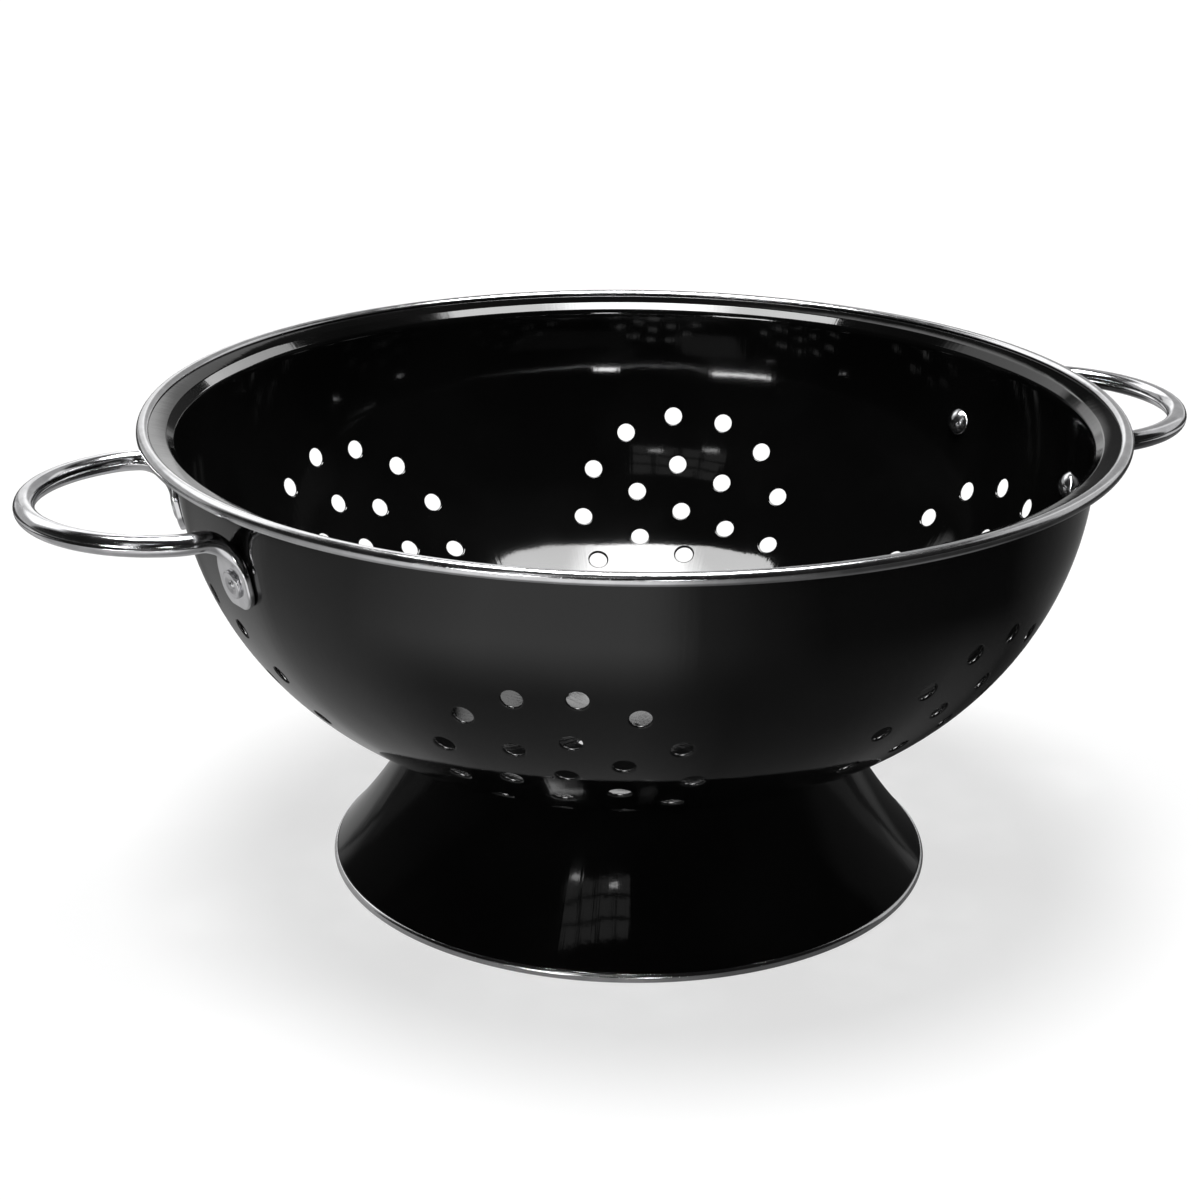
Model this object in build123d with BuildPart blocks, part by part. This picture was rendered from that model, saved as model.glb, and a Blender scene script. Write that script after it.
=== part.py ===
from build123d import *
import math
import os

# Colander: a deep enamelled bowl on a flared foot, with a rolled stainless trim on the rim
# and on the foot, and two wire handles riveted to the wall. Sizes are in millimetres.
# +Z is up and +X runs through the middle of the right handle. The origin is under the
# middle of the foot, on the surface that the foot stands on.

# Bowl
rim_diameter = 280.0
total_height = 137.0
wall = 1.0
lip_width = 9.8
lip_fillet = 3.0
mouth_straight = 1.65
belly_radius = 92.7

# Rolled trims
rim_trim_diameter = 3.7
foot_trim_diameter = 3.3
foot_trim_flat = 0.1
trim_gauge = 0.5

# Foot
foot_diameter = 176.7
foot_neck_diameter = 125.0
foot_flare_radius = 160.0

# Drain holes: each cluster is a middle hole with rings of holes round it. The middles of the
# clusters, the handles and the rivets are placed by their depth below the top of the rim.
hole_diameter = 5.8
ring_spacing = 16.35
ring_counts = (6, 12)
cluster_count = 6
cluster_depth = 67.0
cluster_twist = 9.5

# Handles
wire_diameter = 5.8
handle_depth = 13.0
handle_projection = 35.7
loop_swell = 4.05
shoulder_radius = 15.0
pad_width = 15.0
pad_thickness = 2.0
pad_tail = 7.0
pad_tail_corner = 6.0
pad_top_corner = 2.4
pad_edge_round = 0.5

# Rivets
rivet_spacing = 68.5
rivet_depth = 26.0
rivet_shank = 4.0
rivet_hole_clearance = 0.2
rivet_head_diameter = 8.0
rivet_dome_height = 2.3
rivet_disc_height = 0.9
rivet_disc_round = 0.35
rivet_nub_diameter = 2.6
rivet_nub_height = 0.8
rivet_seat_gap = 0.1

# Cross-section of the wire where it is pressed flat round the bend: how far round the bend,
# then the width and the thickness there, each as a share of the wire's diameter
bend_shares = (
    (0.0, 1.0, 1.0),
    (0.36, 1.22, 0.86),
    (0.7, 1.8, 0.56),
    (1.0, 2.35, 0.36),
)

# Derived: rim and bowl
rim_radius = rim_diameter / 2
mouth_radius = rim_radius - lip_width
rim_trim_radius = rim_radius - rim_trim_diameter / 2
rim_trim_level = total_height - rim_trim_diameter / 2
lip_underside = rim_trim_level - wall / 2
lip_fillet_level = lip_underside - lip_fillet
belly_level = lip_fillet_level - mouth_straight
floor_radius = mouth_radius - belly_radius
floor_underside = belly_level - belly_radius

# Derived: foot
foot_trim_radius = foot_diameter / 2 - foot_trim_diameter / 2
foot_trim_level = foot_trim_diameter / 2 - foot_trim_flat
foot_toe_radius = foot_trim_radius + wall / 2
foot_toe_top = foot_trim_diameter - foot_trim_flat
foot_neck_radius = foot_neck_diameter / 2
foot_neck_level = belly_level - math.sqrt(belly_radius**2 - (foot_neck_radius - floor_radius) ** 2)

# Derived: handles
handle_height = total_height - handle_depth
rivet_height = total_height - rivet_depth
rivet_drop = math.asin((belly_level - rivet_height) / belly_radius)
rivet_wall_radius = floor_radius + belly_radius * math.cos(rivet_drop)
rivet_bearing = math.asin(rivet_spacing / 2 / rivet_wall_radius)
loop_radius = rivet_spacing / 2 + loop_swell
loop_centre = rim_radius + handle_projection - wire_diameter / 2 - loop_radius
shoulder_offset = loop_radius - shoulder_radius
loop_sweep = rivet_bearing + math.asin(
    (math.sin(rivet_bearing) * loop_centre - shoulder_radius) / shoulder_offset
)
bend_start_radius = (
    loop_centre * math.cos(rivet_bearing) + shoulder_offset * math.cos(loop_sweep - rivet_bearing)
)
bend_radius = (
    (bend_start_radius - rivet_wall_radius) * math.cos(rivet_drop)
    - (handle_height - rivet_height) * math.sin(rivet_drop)
    - pad_thickness / 2
) / (1 - math.sin(rivet_drop))
bend_turn = math.pi / 2 - rivet_drop
pad_top = (
    bend_start_radius - rivet_wall_radius - bend_radius * math.sin(bend_turn)
) * math.sin(rivet_drop) + (
    handle_height - rivet_height - bend_radius * (1 - math.cos(bend_turn))
) * math.cos(rivet_drop)


def wall_seat(bearing, drop):
    """Plane on the outer face of the round wall, with its normal pointing out of the bowl,
    its x along the wall and its y up the wall. Angles are in radians: the bearing from +X,
    and the drop down the round of the wall from where the wall is upright."""
    radial = Vector(math.cos(bearing), math.sin(bearing), 0)
    along = Vector(-math.sin(bearing), math.cos(bearing), 0)
    radius = floor_radius + belly_radius * math.cos(drop)
    level = belly_level - belly_radius * math.sin(drop)
    normal = radial * math.cos(drop) - Vector(0, 0, 1) * math.sin(drop)
    return Plane(origin=radial * radius + Vector(0, 0, 1) * level, x_dir=along, z_dir=normal)


def cluster_places():
    """Places of a cluster's holes round its middle one, along the surface: across and up."""
    places = [(0, 0)]
    for ring, count in enumerate(ring_counts, start=1):
        for step in range(count):
            turn = math.radians(90 - cluster_twist + 360 / count * step)
            across = ring * ring_spacing * math.cos(turn)
            up = ring * ring_spacing * math.sin(turn)
            places.append((across, up))
    return places


def drain_seats():
    """Planes on the wall for every drain hole of the clusters round the bowl. The wall leans
    out, so a flat cluster wrapped on it rides up at its sides."""
    cluster_height = total_height - cluster_depth
    middle_drop = math.asin((belly_level - cluster_height) / belly_radius)
    middle_radius = floor_radius + belly_radius * math.cos(middle_drop)
    seats = []
    for cluster in range(cluster_count):
        cluster_bearing = 2 * math.pi * cluster / cluster_count
        for across, up in cluster_places():
            rise = across**2 * math.sin(middle_drop) / (2 * middle_radius)
            drop = middle_drop - (up + rise) / belly_radius
            radius = floor_radius + belly_radius * math.cos(drop)
            seats.append(wall_seat(cluster_bearing + across / radius, drop))
    return seats


def bend_section(share):
    """Plane across the wire, some share of the way round the bend of the rear end."""
    turn = bend_turn * share
    radial = Vector(math.cos(rivet_bearing), math.sin(rivet_bearing), 0)
    along = Vector(-math.sin(rivet_bearing), math.cos(rivet_bearing), 0)
    radius = bend_start_radius - bend_radius * math.sin(turn)
    level = handle_height - bend_radius * (1 - math.cos(turn))
    heading = radial * -math.cos(turn) - Vector(0, 0, 1) * math.sin(turn)
    return Plane(origin=radial * radius + Vector(0, 0, 1) * level, x_dir=along, z_dir=heading)


rivet_bearings = {
    "rivet_right_front": -rivet_bearing,
    "rivet_right_rear": rivet_bearing,
    "rivet_left_front": math.pi + rivet_bearing,
    "rivet_left_rear": math.pi - rivet_bearing,
}
rivet_seats = {name: wall_seat(bearing, rivet_drop) for name, bearing in rivet_bearings.items()}
rivet_hole_radius = (rivet_shank + rivet_hole_clearance) / 2
hole_cut = 4 * wall

# Bowl: one sheet from the flat floor, round the wall and out along the lip, with a cluster of
# drain holes under each handle, four more between them, and one in the floor
with BuildPart() as bowl:
    with BuildSketch(Plane.XZ) as bowl_profile:
        with BuildLine():
            Line((0, floor_underside), (floor_radius, floor_underside))
            CenterArc((floor_radius, belly_level), belly_radius, -90, 90)
            Line((mouth_radius, belly_level), (mouth_radius, lip_fillet_level))
            CenterArc((mouth_radius + lip_fillet, lip_fillet_level), lip_fillet, 180, -90)
            Line((mouth_radius + lip_fillet, lip_underside), (rim_trim_radius, lip_underside))
            offset(amount=wall, side=Side.LEFT)
        make_face()
    revolve(axis=Axis.Z)
    with Locations(*drain_seats()):
        Hole(radius=hole_diameter / 2, depth=hole_cut)
    with BuildSketch(Plane.XY.offset(floor_underside)):
        with Locations(*cluster_places()):
            Circle(hole_diameter / 2)
    extrude(amount=belly_radius, mode=Mode.SUBTRACT)
    with Locations(*rivet_seats.values()):
        Hole(radius=rivet_hole_radius, depth=hole_cut)
bowl.part.label = "bowl"

# Rim trim: a rolled strip, open on the inside where the lip enters it
with BuildPart() as rim_trim:
    with BuildSketch(Plane.XZ):
        with Locations((rim_trim_radius, rim_trim_level)):
            Circle(rim_trim_diameter / 2)
            Circle(rim_trim_diameter / 2 - trim_gauge, mode=Mode.SUBTRACT)
        add(bowl_profile.sketch_local, mode=Mode.SUBTRACT)
    revolve(axis=Axis.Z)
rim_trim.part.label = "rim_trim"

# Foot ring: a flared sheet that stands on the underside of the bowl at its neck and turns
# down into the foot trim at its toe
with BuildPart() as foot_ring:
    with BuildSketch(Plane.XZ) as foot_profile:
        with BuildLine():
            Line((foot_toe_radius, foot_trim_level), (foot_toe_radius, foot_toe_top))
            RadiusArc(
                (foot_toe_radius, foot_toe_top),
                (foot_neck_radius, foot_neck_level + wall),
                foot_flare_radius,
            )
            offset(amount=wall, side=Side.LEFT)
        make_face()
        with Locations((floor_radius, belly_level)):
            Circle(belly_radius, mode=Mode.SUBTRACT)
    revolve(axis=Axis.Z)
foot_ring.part.label = "foot_ring"

# Foot trim: a rolled strip round the toe, pressed flat where it stands
with BuildPart() as foot_trim:
    with BuildSketch(Plane.XZ):
        with Locations((foot_trim_radius, foot_trim_level)):
            Circle(foot_trim_diameter / 2)
            Circle(foot_trim_diameter / 2 - trim_gauge, mode=Mode.SUBTRACT)
        add(foot_profile.sketch_local, mode=Mode.SUBTRACT)
        with Locations((foot_trim_radius, 0)):
            Rectangle(
                foot_trim_diameter,
                foot_trim_diameter,
                align=(Align.CENTER, Align.MAX),
                mode=Mode.SUBTRACT,
            )
    revolve(axis=Axis.Z)
foot_trim.part.label = "foot_trim"

# Right handle: a loop of wire whose ends bend down and are pressed into flat pads
rear_seat = rivet_seats["rivet_right_rear"]
with BuildPart() as handle_right:
    with BuildSketch(rear_seat):
        with Locations((0, (pad_top - pad_tail) / 2)):
            Rectangle(pad_width, pad_top + pad_tail)
        corners = vertices().sort_by(Axis.Y)
        fillet(corners[:2], pad_tail_corner)
        fillet(vertices().group_by(Axis.Y)[-1], pad_top_corner)
    extrude(amount=pad_thickness)
    fillet(faces().sort_by(Axis(rear_seat.origin, rear_seat.z_dir))[-1].edges(), pad_edge_round)
    for share, width_share, thickness_share in bend_shares:
        with BuildSketch(bend_section(share)):
            Ellipse(wire_diameter / 2 * width_share, wire_diameter / 2 * thickness_share)
    loft()
    mirror(about=Plane.XZ)
    shoulder_x = loop_centre + shoulder_offset * math.cos(loop_sweep)
    shoulder_y = shoulder_offset * math.sin(loop_sweep)
    loop_degrees = math.degrees(loop_sweep)
    shoulder_degrees = 90 + math.degrees(rivet_bearing) - loop_degrees
    with BuildLine(Plane.XY.offset(handle_height)) as loop_path:
        CenterArc(
            (shoulder_x, -shoulder_y),
            shoulder_radius,
            -loop_degrees - shoulder_degrees,
            shoulder_degrees,
        )
        CenterArc((loop_centre, 0), loop_radius, -loop_degrees, 2 * loop_degrees)
        CenterArc((shoulder_x, shoulder_y), shoulder_radius, loop_degrees, shoulder_degrees)
    with BuildSketch(Plane(origin=loop_path.line @ 0, z_dir=loop_path.line % 0)):
        Circle(wire_diameter / 2)
    sweep(path=loop_path.line)
    with Locations(rear_seat, rivet_seats["rivet_right_front"]):
        Hole(radius=rivet_hole_radius, depth=4 * pad_thickness)
handle_right.part.label = "handle_right"

# Left handle: the same loop, half a turn round
with BuildPart() as handle_left:
    add(handle_right.part.rotate(Axis.Z, 180))
handle_left.part.label = "handle_left"

# Rivets: a domed head inside the bowl, a shank through the wall and the pad, and outside a
# low disc with a small nub in a dished middle
os.makedirs("parts", exist_ok=True)
for rivet_name, seat in rivet_seats.items():
    inner_face = -wall - rivet_seat_gap
    head_radius = rivet_head_diameter / 2
    disc_top = pad_thickness + rivet_disc_height
    dish_floor = disc_top - rivet_disc_height / 2
    nub_radius = rivet_nub_diameter / 2
    section_normal = seat.x_dir.cross(seat.z_dir)
    with BuildPart() as rivet:
        with BuildSketch(Plane(origin=seat.origin, x_dir=seat.x_dir, z_dir=section_normal)):
            with BuildLine():
                dome_top = (0, inner_face - rivet_dome_height)
                dome_edge = (head_radius, inner_face)
                dome_rise = rivet_dome_height / head_radius
                dome_radius = head_radius * (1 + dome_rise**2) / (2 * dome_rise)
                RadiusArc(dome_top, dome_edge, -dome_radius)
                Polyline(
                    dome_edge,
                    (rivet_shank / 2, inner_face),
                    (rivet_shank / 2, pad_thickness),
                    (head_radius, pad_thickness),
                    (head_radius, disc_top - rivet_disc_round),
                    (head_radius - rivet_disc_round, disc_top),
                    (2 * nub_radius, disc_top),
                    (nub_radius, dish_floor),
                    (0, dish_floor + rivet_nub_height),
                    dome_top,
                )
            make_face()
        revolve(axis=Axis(seat.origin, seat.z_dir))
    rivet.part.label = rivet_name
    export_step(rivet.part, "parts/" + rivet_name + ".step")

export_step(bowl.part, "parts/bowl.step")
export_step(rim_trim.part, "parts/rim_trim.step")
export_step(foot_ring.part, "parts/foot_ring.step")
export_step(foot_trim.part, "parts/foot_trim.step")
export_step(handle_right.part, "parts/handle_right.step")
export_step(handle_left.part, "parts/handle_left.step")
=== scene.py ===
from math import asin, atan2, cos, hypot, pi, radians, sin, sqrt, tan

import bpy
from mathutils import Matrix, Vector
from mathutils.geometry import delaunay_2d_cdt


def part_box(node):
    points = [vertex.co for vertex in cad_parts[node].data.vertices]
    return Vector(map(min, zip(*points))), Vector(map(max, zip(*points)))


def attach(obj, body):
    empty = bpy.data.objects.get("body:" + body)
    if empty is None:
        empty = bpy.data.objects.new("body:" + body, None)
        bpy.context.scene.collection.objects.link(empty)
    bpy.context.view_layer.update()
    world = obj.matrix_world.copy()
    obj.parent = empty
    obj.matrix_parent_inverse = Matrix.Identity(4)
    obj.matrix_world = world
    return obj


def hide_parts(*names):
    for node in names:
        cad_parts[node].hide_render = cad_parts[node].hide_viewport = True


# Colander: the frame's pieces with the finish of the real one. Lengths are in metres.

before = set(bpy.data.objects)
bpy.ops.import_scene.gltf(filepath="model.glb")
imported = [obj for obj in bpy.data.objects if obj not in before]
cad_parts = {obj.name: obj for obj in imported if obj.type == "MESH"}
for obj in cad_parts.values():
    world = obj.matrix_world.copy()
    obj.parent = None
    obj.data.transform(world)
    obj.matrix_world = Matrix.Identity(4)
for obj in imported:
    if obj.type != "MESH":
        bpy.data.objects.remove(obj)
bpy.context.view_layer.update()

MM = 0.001

# Sizes from the frame
rim_low, rim_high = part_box("rim_trim")
foot_low, foot_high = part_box("foot_trim")
RIM_RADIUS = rim_high.x
TOTAL_HEIGHT = rim_high.z
RIM_TRIM_DIAMETER = rim_high.z - rim_low.z
FOOT_RADIUS = foot_high.x
FOOT_TRIM_HEIGHT = foot_high.z - foot_low.z
HANDLE_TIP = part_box("handle_right")[1].x

# Bowl sheet. The lip leaves the round wall in a slow flare, a tight bend, a bevel, a second bend
# and a slow curve into the trim; it has turned by these degrees where each passes into the next.
WALL = 1.0 * MM
BELLY_RADIUS = 92.7 * MM
LIP_WIDTH = 9.8 * MM
LIP_RISE = 4.65 * MM
LIP_FLARE_RADIUS = 8.0 * MM
LIP_BEND_RADIUS = 1.4 * MM
LIP_TURNS = (14, 48, 72, 80)
LIP_INSIDE_TRIM = 0.4 * MM

# Foot
FOOT_NECK_RADIUS = 62.5 * MM
FOOT_FLARE_RADIUS = 160.0 * MM
FOOT_TRIM_FLAT = 0.1 * MM
FOOT_BEAD_RADIUS = 1.1 * MM
FOOT_SUNK_IN_BOWL = 0.3 * WALL
TRIM_GAUGE = 0.5 * MM
TRIM_GAP = 0.12 * MM

# Drain holes
HOLE_RADIUS = 2.9 * MM
RING_SPACING = 16.35 * MM
RING_COUNTS = (6, 12)
CLUSTER_COUNT = 6
CLUSTER_DEPTH = 67.0 * MM
CLUSTER_TWIST = 9.5
# From a hole's edge: where the sheet begins to round over, and up to where it is cut away, a
# guard ring of points, and the nearest other points of the wall and of the floor
HOLE_ROUND = WALL / 2
HOLE_CUT = 0.4 * WALL
WALL_GUARD, WALL_CLEAR = 1.15 * WALL, 1.9 * WALL
FLOOR_GUARD, FLOOR_CLEAR = 0.9 * WALL, 1.8 * WALL
# From the floor's border: the nearest guard points and the nearest others
FLOOR_GUARD_MARGIN, FLOOR_MARGIN = 0.3 * WALL, WALL

# Handles and rivets
WIRE_RADIUS = 2.9 * MM
HANDLE_DEPTH = 13.0 * MM
LOOP_SWELL = 4.05 * MM
SHOULDER_RADIUS = 15.0 * MM
PAD_WIDTH = 15.0 * MM
PAD_THICKNESS = 2.0 * MM
PAD_TAIL = 7.0 * MM
PAD_TAIL_CORNER = 6.0 * MM
PAD_EDGE_ROUND = 0.6 * MM
# How the flat pad passes into the round wire: from this share of the pad's straight part, up to
# this share of the bend's radius before its end, with these rates for its width and corners
PAD_FLAT_SHARE = 0.55
WIRE_ROUND_SHARE = 0.28
PAD_WIDTH_POWER = 0.8
PAD_CORNER_RATE = 1.15
RIVET_SPACING = 68.5 * MM
RIVET_DEPTH = 26.0 * MM
RIVET_HOLE_RADIUS = 2.1 * MM
RIVET_SHANK_RADIUS = 2.0 * MM
RIVET_HEAD_RADIUS = 4.0 * MM
RIVET_DOME_HEIGHT = 2.3 * MM
RIVET_DISC_HEIGHT = 0.9 * MM
RIVET_DISC_ROUND = 0.35 * MM
RIVET_NUB_RADIUS = 1.3 * MM
RIVET_NUB_HEIGHT = 0.8 * MM
RIVET_NUB_TAPER_SHARE = 0.95
# The dish round the nub: radii as shares of the nub's, levels as shares of the disc's height
RIVET_DISH_SHARES = ((2.1, 1.0), (1.9, 0.95), (1.15, 0.54), (1.0, 0.5))
RIVET_SEAT_GAP = 0.1 * MM

# Worked out from those, as the frame's own pieces are
MOUTH_RADIUS = RIM_RADIUS - LIP_WIDTH
RIM_TRIM_RADIUS = RIM_RADIUS - RIM_TRIM_DIAMETER / 2
RIM_TRIM_LEVEL = TOTAL_HEIGHT - RIM_TRIM_DIAMETER / 2
LIP_UNDERSIDE = RIM_TRIM_LEVEL - WALL / 2
LIP_CURVE_END = RIM_RADIUS - RIM_TRIM_DIAMETER + LIP_INSIDE_TRIM
BELLY_LEVEL = LIP_UNDERSIDE - LIP_RISE
FLOOR_RADIUS = MOUTH_RADIUS - BELLY_RADIUS
FLOOR_UNDERSIDE = BELLY_LEVEL - BELLY_RADIUS
FOOT_TRIM_TUBE = (FOOT_TRIM_HEIGHT + FOOT_TRIM_FLAT) / 2
FOOT_TRIM_RADIUS = FOOT_RADIUS - FOOT_TRIM_TUBE
FOOT_TRIM_LEVEL = FOOT_TRIM_TUBE - FOOT_TRIM_FLAT
HANDLE_LEVEL = TOTAL_HEIGHT - HANDLE_DEPTH
RIVET_LEVEL = TOTAL_HEIGHT - RIVET_DEPTH
RIVET_DROP = asin((BELLY_LEVEL - RIVET_LEVEL) / BELLY_RADIUS)
RIVET_WALL_RADIUS = FLOOR_RADIUS + BELLY_RADIUS * cos(RIVET_DROP)
RIVET_BEARING = asin(RIVET_SPACING / 2 / RIVET_WALL_RADIUS)

# Fineness of the meshes
SECTOR_COLUMNS = 40
WALL_ROWS = 48
HOLE_STEPS = 40
HOLE_EDGE_STEPS = 6
FLOOR_GRID = 3.0 * MM
RING_SEGMENTS = CLUSTER_COUNT * SECTOR_COLUMNS
RIM_SEGMENTS = 480
FOOT_TRIM_SEGMENTS = 360
RIVET_SEGMENTS = 48
LIP_LEG_STEPS = (4, 8, 3, 6, 6)
TRIM_OUTSIDE_STEPS, TRIM_TIP_STEPS, TRIM_INSIDE_STEPS = 44, 6, 24
FOOT_FLARE_STEPS, FOOT_BEAD_STEPS = 30, 8
RIVET_DOME_STEPS, RIVET_ROUND_STEPS, RIVET_NUB_STEPS = 14, 5, 8
WIRE_CORNER_STEPS, WIRE_FLAT_STEPS = 8, 6
TAIL_STEPS, PAD_STEPS, BEND_STEPS, SHOULDER_STEPS, LOOP_STEPS = 16, 8, 30, 24, 44
# Nearer points are one, and triangles of less than this double area are left out
SAME_POINT = 1e-9
EMPTY_TRIANGLE = 1e-13


def added(name, data, matrix=Matrix(), **settings):
    """New object of the scene, from its mesh, lamp or camera with these settings."""
    for setting, value in settings.items():
        setattr(data, setting, value)
    made = bpy.data.objects.new(name, data)
    made.matrix_world = matrix
    bpy.context.scene.collection.objects.link(made)
    return made


class Skin:
    """One mesh in the making; a vertex is named by its key. The normals count only where the
    mesh is built with them."""

    def __init__(self):
        self.places = []
        self.normals = []
        self.faces = []
        self.index = {}

    def vertex(self, key, place, normal=(0, 0, 1)):
        if key not in self.index:
            self.index[key] = len(self.places)
            self.places.append(Vector(place))
            self.normals.append(Vector(normal).normalized())
        return self.index[key]

    def face(self, corners):
        self.faces.append(tuple(corners))

    def build(self, name, own_normals=True):
        mesh = bpy.data.meshes.new(name)
        mesh.from_pydata(self.places, [], self.faces)
        mesh.polygons.foreach_set("use_smooth", [True] * len(mesh.polygons))
        if own_normals:
            mesh.normals_split_custom_set_from_vertices([tuple(n) for n in self.normals])
        mesh.update()
        return added(name, mesh)


def polar(radius, bearing, level):
    return Vector((radius * cos(bearing), radius * sin(bearing), level))


def cell(column, row, columns):
    """Columns and rows of the corners of one cell, where the columns close a ring."""
    following = (column + 1) % columns
    return (column, row), (following, row), (following, row + 1), (column, row + 1)


def wall_normal(bearing, drop):
    return polar(cos(drop), bearing, -sin(drop))


def wall_radius(drop):
    return FLOOR_RADIUS + BELLY_RADIUS * cos(drop)


def wall_place(bearing, drop, depth):
    """Point of the round wall, some depth under its outer face."""
    level = BELLY_LEVEL - BELLY_RADIUS * sin(drop)
    return polar(wall_radius(drop), bearing, level) - wall_normal(bearing, drop) * depth


def column_bearing(column):
    """Bearing of a column of the wall, whose first sector starts half a sector before +X."""
    return 2 * pi * (column / RING_SEGMENTS) - pi / CLUSTER_COUNT


def cluster_places():
    """Places of a cluster's holes round its middle one, along the surface: across and up."""
    places = [(0.0, 0.0)]
    for ring, count in enumerate(RING_COUNTS, start=1):
        radius = ring * RING_SPACING
        for step in range(count):
            turn = radians(90 - CLUSTER_TWIST + 360 / count * step)
            places.append((radius * cos(turn), radius * sin(turn)))
    return places


def circle_steps(radius):
    """Points round a hole, across and up from its middle."""
    turns = [2 * pi * step / HOLE_STEPS for step in range(HOLE_STEPS)]
    return [(radius * cos(turn), radius * sin(turn)) for turn in turns]


def filled(points, loops, holes):
    """Triangles over flat points that keep the loops' edges and leave the holes open, each as
    numbers of points, counter-clockwise."""
    edges = [edge for loop in loops for edge in zip(loop, [*loop[1:], loop[0]])]
    flat = [Vector(point) for point in points]
    out_points, _, out_faces, sources, _, _ = delaunay_2d_cdt(flat, edges, [], 0, SAME_POINT)
    triangles = []
    for face in out_faces:
        a, b, c = (out_points[i] for i in face)
        middle = (a + b + c) / 3
        turn = (b - a).cross(c - a)
        if any(inside(middle) for inside in holes) or abs(turn) < EMPTY_TRIANGLE:
            continue
        corners = [sources[i][0] for i in face]
        triangles.append(corners if turn > 0 else corners[::-1])
    return triangles


def add_sheet(skin, points, keys, loops, holes, surface, mirrored=False):
    """Both faces of a stretch of sheet, from its flat points. The surface gives a point's place
    at a depth, and its normal. A mirrored sheet has its flat points seen from inside."""
    triangles = filled(points, loops, holes)
    for side, depth in (("outer", 0.0), ("inner", WALL)):
        made = []
        for number, key in enumerate(keys):
            place, normal = surface(number, depth)
            key = (*key[:2], side) if key[-1] == "edge" else (*key, side)
            made.append(skin.vertex(key, place, normal if side == "outer" else -normal))
        for triangle in triangles:
            corners = [made[i] for i in triangle]
            skin.face(corners[::-1] if mirrored == (side == "outer") else corners)


def wall_holes(sector):
    """Holes of one sector of the wall: bearing from the sector's middle, drop and radius. The
    wall leans out, so a flat cluster wrapped on it rides up at its sides."""
    middle_drop = asin((BELLY_LEVEL - TOTAL_HEIGHT + CLUSTER_DEPTH) / BELLY_RADIUS)
    holes = []
    for across, up in cluster_places():
        rise = across**2 * sin(middle_drop) / (2 * wall_radius(middle_drop))
        drop = middle_drop - (up + rise) / BELLY_RADIUS
        holes.append((across / wall_radius(drop), drop, HOLE_RADIUS))
    if sector % (CLUSTER_COUNT // 2) == 0:
        holes += [(side * RIVET_BEARING, RIVET_DROP, RIVET_HOLE_RADIUS) for side in (-1, 1)]
    return holes


def add_hole_edge(skin, key, centre, mirrored=False):
    """Rounded edge of a hole, from its ring on the outer face to its ring on the inner one. Seen
    from outside, the rings run clockwise where they are mirrored."""
    for step in range(HOLE_STEPS):
        number = skin.index[(key, step, "outer")]
        outer, normal = skin.places[number], skin.normals[number]
        inner = skin.places[skin.index[(key, step, "inner")]]
        middle = (outer + inner) / 2
        inward = centre - middle
        inward = (inward - normal * inward.dot(normal)).normalized()
        half = (outer - inner).length / 2
        for rung in range(1, HOLE_EDGE_STEPS):
            turn = pi * rung / HOLE_EDGE_STEPS
            heading = normal * cos(turn) + inward * sin(turn)
            skin.vertex((key, step, rung), middle + heading * half, heading)
    sides = {0: "outer", HOLE_EDGE_STEPS: "inner"}
    for step in range(HOLE_STEPS):
        for rung in range(HOLE_EDGE_STEPS):
            corners = [skin.index[(key, s, sides.get(r, r))]
                       for s, r in cell(step, rung, HOLE_STEPS)]
            skin.face(corners[::-1] if mirrored else corners)


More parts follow.
